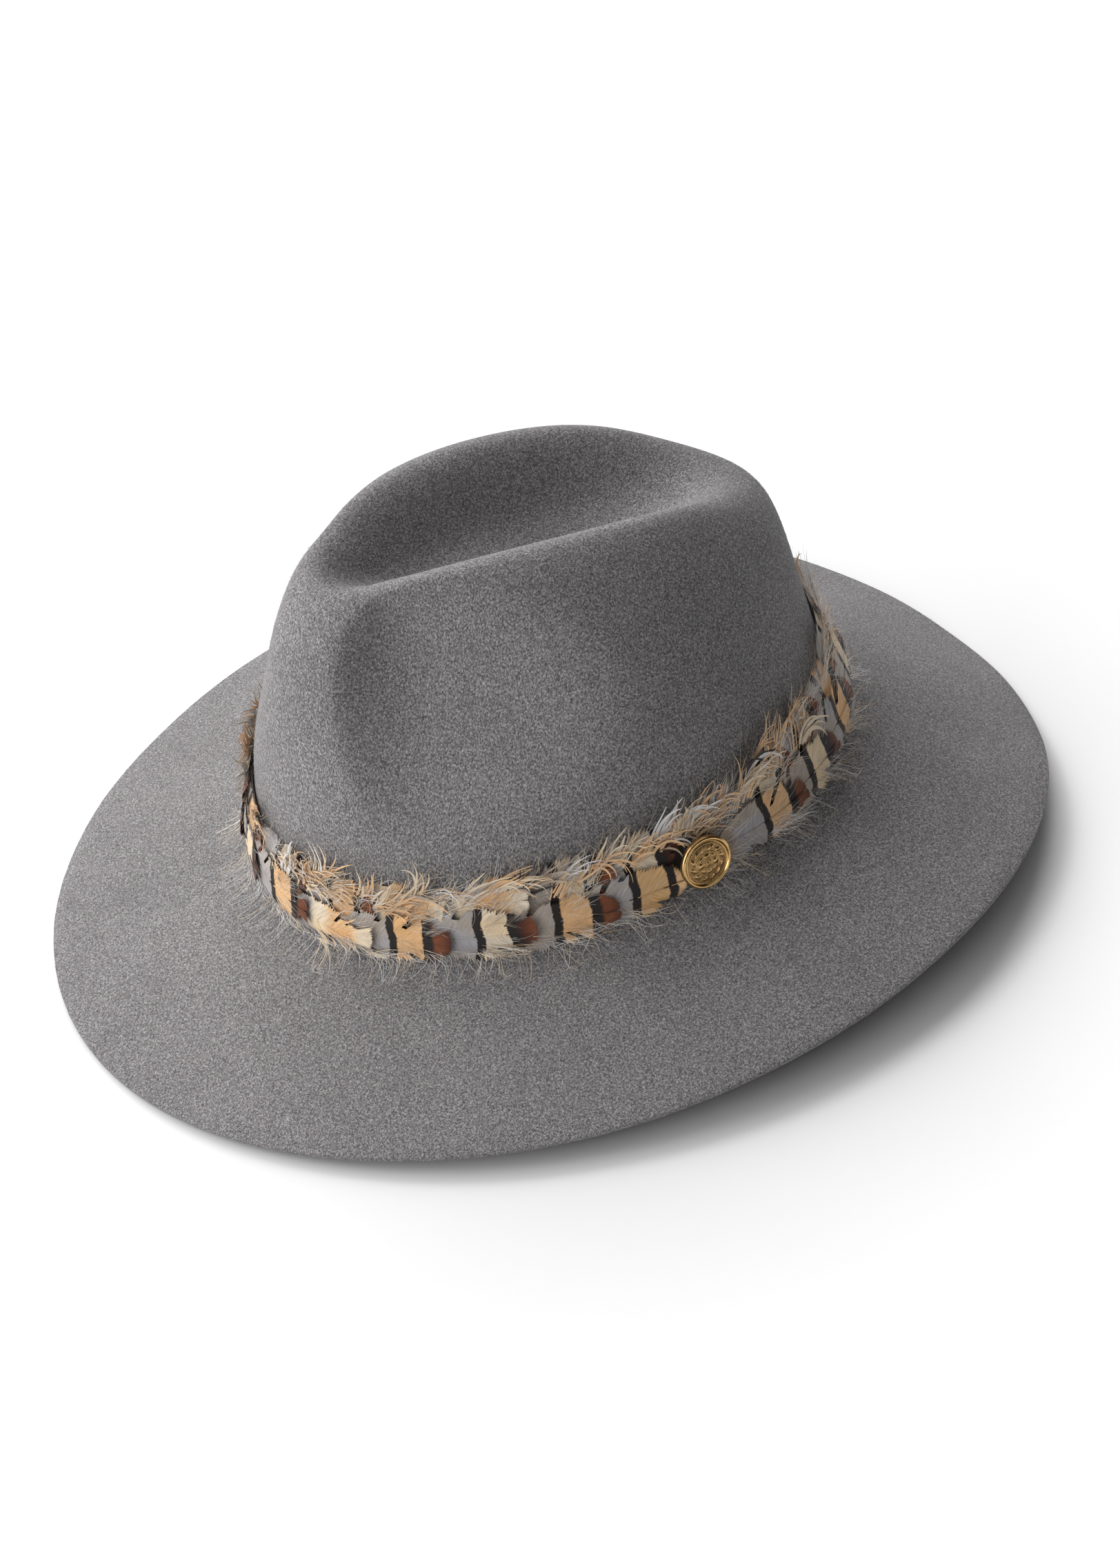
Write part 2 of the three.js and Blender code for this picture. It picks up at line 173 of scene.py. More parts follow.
# The wall as a sheet: u along the band from its join, h above the brim, d out from the felt.
_a = np.linspace(0, TAU, 721) + BUTTON_AT
_ring = ring_points(_a)[4][:, :2]
ARC = np.concatenate([[0], np.cumsum(np.hypot(*np.diff(_ring, axis=0).T))])
LENGTH = ARC[-1]


def angle_at(u):
    return BUTTON_AT + np.interp(np.mod(u, LENGTH), ARC, np.linspace(0, TAU, 721))


HU, HH = np.arange(0, LENGTH + 1, 1.0), np.arange(-3, 56, 1.0)


def _sheet():
    t = angle_at(np.minimum(HU, LENGTH - 1e-6))
    t[-1] = BUTTON_AT + TAU if HU[-1] >= LENGTH else t[-1]
    s = np.linspace(0.14, 0.68, 110)
    z = np.einsum("sk,ktc->tsc", weights(s), ring_points(t))[:, :, 2]
    base = ring_points(t)[3][:, 2]
    found = np.array([np.interp(base[i] + HH, z[i], s) for i in range(len(t))])
    tt = np.repeat(t[:, None], len(HH), 1)
    shape = (len(HU), len(HH), 3)
    return (found, surface(tt.ravel(), found.ravel()).reshape(shape),
            outward(tt.ravel(), found.ravel()).reshape(shape))


SHEET_S, SHEET_P, SHEET_N = _sheet()


def on_sheet(table, u, h):
    x = np.clip(np.mod(u, LENGTH) - HU[0], 0, len(HU) - 1.001)
    y = np.clip(h - HH[0], 0, len(HH) - 1.001)
    i, j = x.astype(int), y.astype(int)
    fx, fy = (x - i), (y - j)
    if table.ndim == 3:
        fx, fy = fx[..., None], fy[..., None]
    return ((table[i, j] * (1 - fx) + table[i + 1, j] * fx) * (1 - fy)
            + (table[i, j + 1] * (1 - fx) + table[i + 1, j + 1] * fx) * fy)


def band(u, h, d=0.0):
    """Points d out from the wall, and the wall's normals there."""
    u, h, d = np.broadcast_arrays(np.asarray(u, float), h, d)
    n = unit(on_sheet(SHEET_N, u, h))
    return on_sheet(SHEET_P, u, h) + n * d[..., None], n


def wall_s(u, h):
    return on_sheet(SHEET_S, np.asarray(u, float), np.asarray(h, float))


def waves(p, size, seed, terms=10):
    """Smooth noise of about -1..1 with features of that size."""
    r = np.random.default_rng(seed)
    k = unit(r.normal(size=(terms, 3))) * (TAU / size) * r.uniform(0.6, 1.5, (terms, 1))
    return np.sin(p @ k.T + r.uniform(0, TAU, terms)).sum(-1) / math.sqrt(terms / 2) / 1.6


def smooth(x, a, b):
    x = np.clip((x - a) / (b - a), 0, 1)
    return x * x * (3 - 2 * x)


# ---------------------------------------------------------------- materials
class Look:
    """A node material, built from its Principled shader back."""

    def __init__(self, name, **constants):
        self.mat = bpy.data.materials.new(name)
        self.mat.use_nodes = True
        self.tree = self.mat.node_tree
        self.shader = self.tree.nodes["Principled BSDF"]
        for key, value in constants.items():
            self.shader.inputs[key.replace("_", " ")].default_value = value

    def node(self, kind, *inputs, **props):
        n = self.tree.nodes.new("ShaderNode" + kind)
        named = {k: v for k, v in props.items() if not hasattr(n, k)}
        for k, v in props.items():
            if k not in named:
                setattr(n, k, v)
        for k, v in list(enumerate(inputs)) + [(k.replace("_", " "), v) for k, v in named.items()]:
            if v is None:
                continue
            if isinstance(v, bpy.types.NodeSocket):
                self.tree.links.new(v, n.inputs[k])
            else:
                n.inputs[k].default_value = v
        return n

    def place(self, turn=(0, 0, 0), scale=(1, 1, 1)):
        coords = self.node("TexCoord").outputs["Object"]
        return self.node("Mapping", Vector=coords, Rotation=turn, Scale=scale).outputs[0]

    def noise(self, where, scale, detail=2.0, rough=0.5):
        return self.node("TexNoise", Vector=where, Scale=scale, Detail=detail, Roughness=rough).outputs[0]

    def math(self, op, a, b=0.0, c=None):
        return self.node("Math", a, b, c, operation=op).outputs[0]

    def ramp(self, value, stops):
        n = self.node("ValToRGB", Fac=value)
        ends = n.color_ramp.elements
        ends[0].position, ends[1].position = stops[0][0], stops[-1][0]
        for i, (at, colour) in enumerate(stops):
            e = ends[0] if i == 0 else ends[len(ends) - 1] if i == len(stops) - 1 else ends.new(at)
            e.color = (*colour, 1) if hasattr(colour, "__len__") else (colour,) * 3 + (1,)
        return n.outputs[0]

    def mix(self, fac, a, b, mode="MIX"):
        n = self.node("Mix", data_type="RGBA", blend_type=mode)
        for socket, v in ((n.inputs[0], fac), (n.inputs[6], a), (n.inputs[7], b)):
            if isinstance(v, bpy.types.NodeSocket):
                self.tree.links.new(v, socket)
            else:
                socket.default_value = (*v, 1) if hasattr(v, "__len__") else v
        return n.outputs[2]

    def grey(self, value):
        """A grey value as a colour, for multiplying."""
        return self.node("CombineColor", value, value, value).outputs[0]

    def attribute(self, name):
        return self.node("Attribute", attribute_name=name).outputs["Fac"]

    def paint(self, colour=None, height=None, strength=0.3, distance=0.0003, rough=None):
        if colour is not None:
            self.tree.links.new(colour, self.shader.inputs["Base Color"])
        if rough is not None:
            self.tree.links.new(rough, self.shader.inputs["Roughness"])
        if height is not None:
            bump = self.node("Bump", Strength=strength, Distance=distance, Height=height)
            self.tree.links.new(bump.outputs[0], self.shader.inputs["Normal"])
        return self.mat


def felt_look():
    k = Look("felt", Roughness=0.92, Specular_IOR_Level=0.2, Sheen_Weight=0.12, Sheen_Roughness=0.6)
    k.shader.inputs["Sheen Tint"].default_value = (0.8, 0.78, 0.8, 1)
    n1 = k.noise(k.place((0.4, 0.3, 0.9), (1, 2.2, 1)), 1200, 3, 0.65)
    n2 = k.noise(k.place((1.2, 0.7, -0.5), (2.2, 1, 1)), 1200, 3, 0.65)
    fleck = k.math("MULTIPLY", k.math("ADD", n1, n2), 0.5)
    fine = k.noise(k.place(), 4200, 2, 0.6)
    fleck = k.math("ADD", k.math("MULTIPLY", fleck, 0.75), k.math("MULTIPLY", fine, 0.25))
    colour = k.ramp(fleck, [(0.405, (0.050, 0.047, 0.048)), (0.5, (0.156, 0.149, 0.151)),
                            (0.595, (0.38, 0.37, 0.368))])
    blotch = k.math("MULTIPLY_ADD", k.noise(k.place(), 38, 3, 0.5), 0.3, 0.86)
    colour = k.mix(1.0, colour, k.grey(blotch), "MULTIPLY")
    return k.paint(colour, fleck, 0.55, 0.0006)


def satin_look():
    k = Look("satin", Roughness=0.38, Sheen_Weight=0.2, Specular_IOR_Level=0.55)
    weave = k.node("TexWave", Vector=k.place((0, 0, 0.7)), Scale=1600, Distortion=0.6, Detail=1)
    thread = weave.outputs["Fac"]
    tone = k.noise(k.place(), 45, 3, 0.55)
    colour = k.mix(k.math("MULTIPLY", thread, 0.35), k.ramp(tone, [(0.3, (0.04, 0.04, 0.055)),
                   (0.7, (0.075, 0.075, 0.095))]), (0.12, 0.12, 0.15))
    return k.paint(colour, thread, 0.15, 0.0001)


def leather_look():
    k = Look("leather", Roughness=0.5, Specular_IOR_Level=0.5)
    grain = k.node("TexVoronoi", Vector=k.place(), Scale=1300, feature="DISTANCE_TO_EDGE").outputs["Distance"]
    pores = k.noise(k.place(), 900, 4, 0.6)
    height = k.math("ADD", k.math("MINIMUM", grain, 0.18), k.math("MULTIPLY", pores, 0.12))
    tone = k.noise(k.place(), 70, 4, 0.6)
    colour = k.ramp(tone, [(0.3, (0.024, 0.015, 0.010)), (0.7, (0.050, 0.031, 0.021))])
    return k.paint(colour, height, 0.5, 0.0003, k.ramp(pores, [(0.3, 0.42), (0.7, 0.62)]))


def ribbon_look(name, dark, light):
    """Grosgrain: ribs across the ribbon, from the attribute along it."""
    k = Look(name, Roughness=0.75, Sheen_Weight=0.25)
    rib = k.math("SINE", k.math("MULTIPLY", k.attribute("along"), TAU / 0.75))
    fuzz = k.noise(k.place(), 1500, 3, 0.6)
    tone = k.math("ADD", k.math("MULTIPLY", rib, 0.3), k.math("MULTIPLY", fuzz, 0.9))
    return k.paint(k.ramp(tone, [(0.15, dark), (0.8, light)]), rib, 0.5, 0.0002)


def reed_look():
    k = Look("reed", Roughness=0.42, Specular_IOR_Level=0.5)
    tone = k.noise(k.place((0, 0, 0), (1, 1, 4)), 300, 3, 0.5)
    return k.paint(k.ramp(tone, [(0.3, (0.56, 0.53, 0.45)), (0.7, (0.72, 0.69, 0.61))]), tone, 0.1, 0.0001)


def gold_look(name):
    k = Look(name, Metallic=1.0, Roughness=0.3)
    tarnish = k.noise(k.place(), 420, 4, 0.6)
    depth = k.attribute("hollow")
    base = k.ramp(tarnish, [(0.3, (0.42, 0.255, 0.10)), (0.7, (0.62, 0.41, 0.18))])
    colour = k.mix(depth, base, (0.16, 0.09, 0.04))
    rough = k.math("ADD", k.math("MULTIPLY", tarnish, 0.25), k.math("MULTIPLY_ADD", depth, 0.3, 0.12))
    return k.paint(colour, k.noise(k.place(), 3000, 2, 0.5), 0.06, 0.0001, rough)


def thread_look():
    k = Look("thread", Roughness=0.7, Sheen_Weight=0.3)
    ply = k.noise(k.place((0.6, 0.4, 0.2), (1, 4, 1)), 2500, 2, 0.5)
    colour = k.ramp(ply, [(0.35, (0.045, 0.035, 0.028)), (0.65, (0.12, 0.095, 0.078))])
    return k.paint(colour, ply, 0.4, 0.0001)


GREY, BLACK = (0.335, 0.325, 0.325), (0.015, 0.012, 0.012)
BLUE = (0.33, 0.335, 0.355)
CREAM, PEACH, OCHRE = (0.64, 0.56, 0.43), (0.62, 0.41, 0.22), (0.56, 0.37, 0.18)
CHESTNUT, RUST = (0.050, 0.016, 0.010), (0.150, 0.048, 0.020)
DOWN = (0.30, 0.245, 0.20)
# Bars of each kind of feather: where along it each colour starts.
FEATHER_KINDS = {
    "barred_cream": [(0, DOWN), (0.2, GREY), (0.515, BLACK), (0.585, CREAM),
                     (0.77, BLACK), (0.85, CHESTNUT), (0.91, RUST)],
    "barred_peach": [(0, DOWN), (0.2, GREY), (0.50, BLACK), (0.565, PEACH),
                     (0.775, BLACK), (0.855, RUST), (0.96, CHESTNUT)],
    "barred_blue": [(0, DOWN), (0.16, BLUE), (0.53, BLACK), (0.60, CREAM),
                    (0.79, BLACK), (0.87, CHESTNUT), (0.95, RUST)],
    "barred_ochre": [(0, DOWN), (0.22, GREY), (0.54, BLACK), (0.605, OCHRE),
                     (0.82, BLACK), (0.885, PEACH), (0.95, OCHRE)],
    "frayed_peach": [(0, DOWN), (0.2, GREY), (0.42, CREAM), (0.58, PEACH), (0.84, CREAM)],
}
# The kind of each feather along the rows, by its place in that list.
PATTERN = {"upper": "0110301240103201014400", "lower": "1010210013021020141013"}


def feather_look(name, bars):
    """Barred vane. Its attributes: f along the feather, g across it, q which barb, r along the barb."""
    k = Look("feather_" + name, Roughness=0.6, Sheen_Weight=0.05, Specular_IOR_Level=0.25)
    f, g, q, r, seed = (k.attribute(a) for a in ("f", "g", "q", "r", "seed"))

    def pattern(x, y, detail, rough):
        return k.noise(k.node("CombineXYZ", x, y, seed).outputs[0], 1.0, detail, rough)

    ragged = pattern(k.math("MULTIPLY", q, 60.0), k.math("SIGN", g), 3, 0.6)
    bend = pattern(k.math("MULTIPLY", g, 1.1), k.math("MULTIPLY", f, 1.5), 2, 0.5)
    at = k.math("ADD", f, k.math("MULTIPLY", k.math("SUBTRACT", ragged, 0.5), 0.030))
    at = k.math("ADD", at, k.math("MULTIPLY", k.math("SUBTRACT", bend, 0.5), 0.09))
    stops = [(0.0, bars[0][1])]
    for (start, colour), (_, before) in zip(bars[1:], bars):
        if BLACK not in (colour, before):
            soft = 0.04
        elif before == BLACK and colour in (CHESTNUT, RUST):
            soft = 0.012
        else:
            soft = 0.004
        stops += [(start - soft, before), (start + soft, colour)]
    colour = k.ramp(at, stops)
    streak = pattern(k.math("MULTIPLY", q, 150.0), k.math("MULTIPLY", r, 2.0), 3, 0.7)
    tint = k.ramp(streak, [(0.3, 0.62), (0.5, 1.0), (0.7, 1.28)])
    colour = k.mix(1.0, colour, tint, "MULTIPLY")
    warm = k.ramp(bend, [(0.35, (1.0, 1.0, 1.04)), (0.65, (1.08, 0.95, 0.80))])
    colour = k.mix(1.0, colour, warm, "MULTIPLY")
    return k.paint(colour, streak, 0.35, 0.0003)


def hair_look(name, colour, rough=0.6):
    k = Look(name, Roughness=rough, Sheen_Weight=0.2, Specular_IOR_Level=0.3)
    k.shader.inputs["Base Color"].default_value = (*colour, 1)
    return k.mat


FELT_LOOK, SATIN_LOOK, LEATHER_LOOK, REED_LOOK = felt_look(), satin_look(), leather_look(), reed_look()
BAND_RIBBON = ribbon_look("band_ribbon", (0.030, 0.025, 0.022), (0.10, 0.085, 0.075))
BOW_RIBBON = ribbon_look("bow_ribbon", (0.008, 0.008, 0.009), (0.035, 0.034, 0.038))
GOLD, THREAD = gold_look("gold"), thread_look()
FEATHER_LOOKS = [feather_look(n, b) for n, b in FEATHER_KINDS.items()]
NAP_TONES = [hair_look(f"nap_{i}", c, 0.9) for i, c in enumerate(
    [(0.060, 0.057, 0.059), (0.16, 0.153, 0.156), (0.28, 0.27, 0.27), (0.50, 0.49, 0.49)])]
PLUME_TONES = [hair_look(f"plume_{i}", c) for i, c in enumerate(
    [(0.66, 0.55, 0.41), (0.68, 0.44, 0.24), (0.42, 0.33, 0.25), (0.33, 0.29, 0.26),
     (0.64, 0.63, 0.62), (0.20, 0.155, 0.125), (0.030, 0.022, 0.020), (0.33, 0.12, 0.06)])]


# ---------------------------------------------------------------- meshes
def mesh(name, points, quads=(), tris=(), looks=(), tones=None, values=None):
    """A mesh object from points in millimetres, with quads and triangles as index arrays."""
    quads, tris = np.asarray(quads, int).reshape(-1, 4), np.asarray(tris, int).reshape(-1, 3)
    me = bpy.data.meshes.new(name)
    me.vertices.add(len(points))
    me.vertices.foreach_set("co", M(points).astype(np.float32).ravel())
    loops = np.concatenate([quads.ravel(), tris.ravel()]).astype(np.int32)
    me.loops.add(len(loops))
    me.loops.foreach_set("vertex_index", loops)
    starts = np.concatenate([np.arange(len(quads)) * 4, len(quads) * 4 + np.arange(len(tris)) * 3])
    me.polygons.add(len(starts))
    me.polygons.foreach_set("loop_start", starts.astype(np.int32))
    for m in looks:
        me.materials.append(m)
    if tones is not None:
        me.polygons.foreach_set("material_index", np.asarray(tones, np.int32))
    me.polygons.foreach_set("use_smooth", np.full(len(starts), True))
    for key, v in (values or {}).items():
        me.attributes.new(key, "FLOAT", "POINT").data.foreach_set("value", np.asarray(v, np.float32))
    me.update(calc_edges=True)
    me.validate()
    o = bpy.data.objects.new(name, me)
    bpy.context.scene.collection.objects.link(o)
    return o


def wear(obj, body, slot, *nodes):
    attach(obj, body)
    if nodes:
        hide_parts(*nodes)
    return obj


def sheet_quads(rows, cols, wrap_rows=False, wrap_cols=False):
    """Quads of a grid of rows by cols points, seen from the side where cols x rows points out."""
    r = np.arange(rows if wrap_rows else rows - 1)[:, None]
    c = np.arange(cols if wrap_cols else cols - 1)[None, :]
    r2, c2 = (r + 1) % rows, (c + 1) % cols
    corners = np.broadcast_arrays(r * cols + c, r * cols + c2, r2 * cols + c2, r2 * cols + c)
    return np.stack(corners, -1).reshape(-1, 4)


def leaf_quads(rows, cols):
    """Quads that close two grids of rows by cols points, top then underside, into one leaf."""
    top = sheet_quads(rows, cols)
    last = (rows - 1) * cols
    edge = np.concatenate([np.arange(cols), cols * np.arange(1, rows) + cols - 1,
                           last + np.arange(cols - 2, -1, -1), cols * np.arange(rows - 2, 0, -1)])
    after, under = np.roll(edge, -1), rows * cols
    return top, top[:, ::-1] + under, np.stack([edge, after, after + under, edge + under], -1)


def end_fans(rows, cols):
    """Triangles from the two points that follow a tube of rows by cols points to its first and last row."""
    i, last = np.arange(cols), (rows - 1) * cols
    after = (i + 1) % cols
    first_fan = np.stack([np.full(cols, rows * cols), i, after], -1)
    return np.concatenate([first_fan, np.stack([np.full(cols, rows * cols + 1), last + after, last + i], -1)])


def folded(quads, rows, cols):
    """A sheet whose first and last rows close on the dent's middle line, as (quads, triangles)."""
    fold, i = np.arange(rows * cols), np.arange(cols // 2 + 1, cols)
    for row in (0, rows - 1):
        fold[row * cols + i] = row * cols + cols - i
    quads = fold[quads]
    flat = (quads[:, 0] == quads[:, 1]) | (quads[:, 2] == quads[:, 3])
    tris = [[v for k, v in enumerate(f) if v not in f[:k]] for f in quads[flat].tolist()]
    return quads[~flat], [f for f in tris if len(f) == 3]


def strips(name, paths, widths, facing, looks, tones, values=None):
    """Tapered ribbons along paths (n, k, 3), width (n, k), each flat to the directions facing."""
    n, k = paths.shape[:2]
    along = unit(np.gradient(paths, axis=1))
    side = unit(np.cross(facing, along)) * widths[..., None] / 2
    points = np.stack([paths - side, paths + side], 2)
    a = (np.arange(n)[:, None] * k + np.arange(k - 1)[None, :]).ravel() * 2
    quads = np.stack([a, a + 1, a + 3, a + 2], -1)
    return mesh(name, points.reshape(-1, 3), quads, looks=looks, tones=np.repeat(tones, k - 1), values=values)


def wander(u, h, d, heading, turn, length, lift, steps=9, curl=0.0):
    """Paths in band coordinates. Heading 0 is along the band, pi/2 up the wall; turn is its whole change."""
    x = np.linspace(0, 1, steps)[None, :]
    a = heading[:, None] + turn[:, None] * x + (np.asarray(curl) * np.ones(len(u)))[:, None] * x * x * x
    step = (length / (steps - 1))[:, None]
    mid = (a[:, 1:] + a[:, :-1]) / 2
    z = np.zeros((len(u), 1))
    uu = u[:, None] + np.concatenate([z, np.cumsum(np.cos(mid) * step, 1)], 1)
    hh = h[:, None] + np.concatenate([z, np.cumsum(np.sin(mid) * step, 1)], 1)
    dd = d[:, None] + lift[:, None] * x ** 1.5
    return band(uu, hh, dd)


# ---------------------------------------------------------------- the felt
def felt():
    cols = 320
    t = np.linspace(0, TAU, cols + 1)[:-1]
    levels = np.array([0, 0.04, 0.08, 0.12, 0.155, 0.185, 0.21, 0.235, 0.26, 0.285, 0.315, 0.35, 0.4, 0.45,
                       0.5, 0.545, 0.585, 0.62, 0.65, 0.68, 0.71, 0.74, 0.77, 0.8, 0.84, 0.88, 0.92, 0.96, 1])
    fine = np.interp(np.arange(0, 28.01, 0.25), np.arange(29), levels)
    coarse = np.interp(np.arange(0, 28.01, 0.5), np.arange(29), levels)
    p, n = grid(t, fine)
    away = 1 - smooth(fine, 0.13, 0.2) * (1 - smooth(fine, 0.36, 0.5))
    p = p + n * (0.3 * waves(p, 70, 3) * away[:, None])[..., None]
    q, m = grid(t, coarse)
    edge_out = unit(p[0] - surface(t, np.full(cols, 0.01)))
    edge = []
    for d, proud in ((0.06, 0.14), (0.3, 0.28), (0.8, 0.34), (1.6, 0.34), (2.1, 0.28), (2.34, 0.14)):
        ragged = 0.05 * waves(p[0] + d * 20, 2.5, 5)
        edge.append(p[0] - n[0] * d + edge_out * (proud + ragged)[:, None])
    rows = [*(q - m * FELT)[::-1], *edge[::-1], *p]
    quads, tris = folded(sheet_quads(len(rows), cols, wrap_cols=True), len(rows), cols)
    o = mesh("felt_shell", np.concatenate(rows), quads, tris, [FELT_LOOK])
    wear(o, "hat", "felt", "felt_body")


def nap(name, count, low, high, length, seed):
    """Short fibres lying on the felt, so its outline isn't knife sharp."""
    r = np.random.default_rng(seed)
    t, s = r.uniform(0, TAU, count * 2), r.uniform(low, high, count * 2)
    reach = np.hypot(*surface(t, s)[:, :2].T)
    keep = r.uniform(0, 160, len(t)) < reach
    t, s = t[keep][:count], s[keep][:count]
    p, n = surface(t, s), outward(t, s)
    way = unit(r.normal(size=p.shape) + np.array([0.2, 0.5, -0.3]))
    way = unit(way - n * (way * n).sum(1, keepdims=True))
    size = length * r.uniform(0.5, 1.3, len(t))[:, None]
    stand = r.uniform(0.12, 0.6, len(t))[:, None]
    bow = np.cross(n, way) * r.normal(0, 0.25, (len(t), 1))
    path = np.stack([p - n * 0.05, p + (way + bow) * size * 0.5 + n * size * stand * 0.45,
                     p + way * size + n * size * stand * 0.55], 1)
    width = np.array([0.085, 0.07, 0.015])[None, :] * r.uniform(0.7, 1.3, (len(t), 1))
    facing = np.repeat(n[:, None], 3, 1)
    tones = r.choice(4, len(t), p=[0.22, 0.38, 0.27, 0.13])
    wear(strips(name, path, width, facing, NAP_TONES, tones), "hat", "felt")


def lining():
    """A side panel with fine pleats that fade towards the crown, and a tip panel under the crown's top."""
    cols = 256
    t = np.linspace(0, TAU, cols + 1)[:-1]
    s = np.linspace(0.4, 0.645, 26)
    p, n = grid(t, s)
    pleat = 0.16 * np.sin(64 * t)[None, :] * (1 - smooth(s, 0.42, 0.6))[:, None] - 0.16
    rows = [*(p - n * 2.9), *(p + n * (-3.3 + pleat)[..., None])[::-1]]
    quads = sheet_quads(len(rows), cols, True, True)
    o = mesh("lining_side_satin", np.concatenate(rows), quads, looks=[SATIN_LOOK])
    wear(o, "hat", "lining_satin", "lining_side")

    s = np.linspace(0.675, 1, 40)
    p, n = grid(t, s)
    puff = 0.12 * waves(p, 22, 9)
    rows = [*(p + n * (-3.55 + np.minimum(puff, 0.1) - 0.1)[..., None])[::-1], *(p - n * 3.1)]
    quads, tris = folded(sheet_quads(len(rows), cols, False, True), len(rows), cols)
    o = mesh("lining_tip_satin", np.concatenate(rows), quads, tris, [SATIN_LOOK])
    wear(o, "hat", "lining_satin", "lining_tip")


def sweatband():
    """Leather with soft edges and two pressed lines, its zig-zag stitches, and the reed in its lower edge."""
    u = np.linspace(0, LENGTH, 301)[:-1]
    h = np.concatenate([[4.0, 4.2, 4.6], np.linspace(5.2, 36, 30), [36.6, 37.0]])
    uu, hh = np.meshgrid(u, h)
    press = 0.22 * np.exp(-((h - 8.0) / 0.35) ** 2) + 0.18 * np.exp(-((h - 34.0) / 0.35) ** 2)
    soften = 0.3 * (1 - smooth(h, 4.0, 4.8)) + 0.2 * smooth(h, 36.2, 37.0)
    ripple = 0.08 * waves(np.stack([uu, hh * 0.4, 0 * uu], -1), 30, 4)
    face = band(uu, hh, -4.9 + (press + soften)[:, None] + np.maximum(ripple, -0.04))[0]
    back = band(uu, hh, (-4.1 - soften * 0.4)[:, None] + 0 * uu)[0]
    rows = [*back, *face[::-1]]
    quads = sheet_quads(len(rows), len(u), True, True)
    o = mesh("sweatband_leather", np.concatenate(rows), quads, looks=[LEATHER_LOOK])
    wear(o, "hat", "sweatband_leather", "sweatband")

    count, reach = int(LENGTH / 3.2), 1.3
    u0 = (np.arange(count) + 0.5) * LENGTH / count
    x = np.linspace(-1, 1, 6)[None, :]
    sign = np.where(np.arange(count) % 2, 1, -1)[:, None]
    paths, facing = band(u0[:, None] + reach * x, 6.3 + 0.5 * sign * x, -4.98 - 0.12 * (1 - x * x))
    width = np.full(paths.shape[:2], 0.34)
    o = strips("sweatband_stitches", paths, width, facing, [REED_LOOK], np.zeros(count, int))
    wear(o, "hat", "sweatband_leather")

    wire, sides = 0.3, 8
    u = np.linspace(0, LENGTH, 401)[:-1]
    uu, aa = np.meshgrid(u, np.linspace(0, TAU, sides + 1)[:-1])
    pts = band(uu, 4.8 + wire * np.sin(aa), -2.96 + wire * np.cos(aa))[0].reshape(-1, 3)
    quads = sheet_quads(sides, len(u), True, True)[:, ::-1]
    o = mesh("sweatband_reed_cord", pts, quads, looks=[REED_LOOK])
    wear(o, "hat", "reed_plastic", "sweatband_reed")


def bow():
    """Two ribbon loops and a knot on the sweatband, at the back of the hat."""
    at, height, behind = float(np.interp(math.pi, angle_at(HU[:-1]), HU[:-1])), 14, -5.32
    rows, cols = 9, 25
    pts, quads, along = [], [], []
    for part in ("left", "right", "knot"):
        x = np.linspace(-1, 1, cols) if part == "knot" else np.linspace(0, 1, cols)
        xx, yy = np.meshgrid(x, np.linspace(-1, 1, rows))
        if part == "knot":
            du, dh = 1.55 * xx, 1.75 * yy
            d = -5.35 - 0.75 * np.sqrt(np.clip(1 - xx ** 4 * 0.8, 0, 1))
        else:
            hand = -1 if part == "left" else 1
            du = hand * (1.2 + 9.6 * xx)
            half = 0.9 + 2.4 * smooth(xx, 0, 0.75) - 0.9 * smooth(xx, 0.8, 1)
            dh = half * yy + 0.25 * np.sin(5 * xx)
            d = -5.45 - 0.55 * np.sin(math.pi * np.clip(xx, 0.02, 1)) ** 0.7
            d = d - 0.12 * np.cos(3 * yy * math.pi) * xx
        base = sum(len(p) for p in pts)
        pts += [band(at + du, height + dh, d)[0].reshape(-1, 3),
                band(at + du, height + dh, d * 0 + behind)[0].reshape(-1, 3)]
        quads += [q + base for q in leaf_quads(rows, cols)]
        along += [du.ravel(), du.ravel()]
    o = mesh("sweatband_bow_ribbon", np.concatenate(pts), np.concatenate(quads), looks=[BOW_RIBBON],
             values={"along": np.concatenate(along)})
    wear(o, "hat", "bow_ribbon", "sweatband_bow")


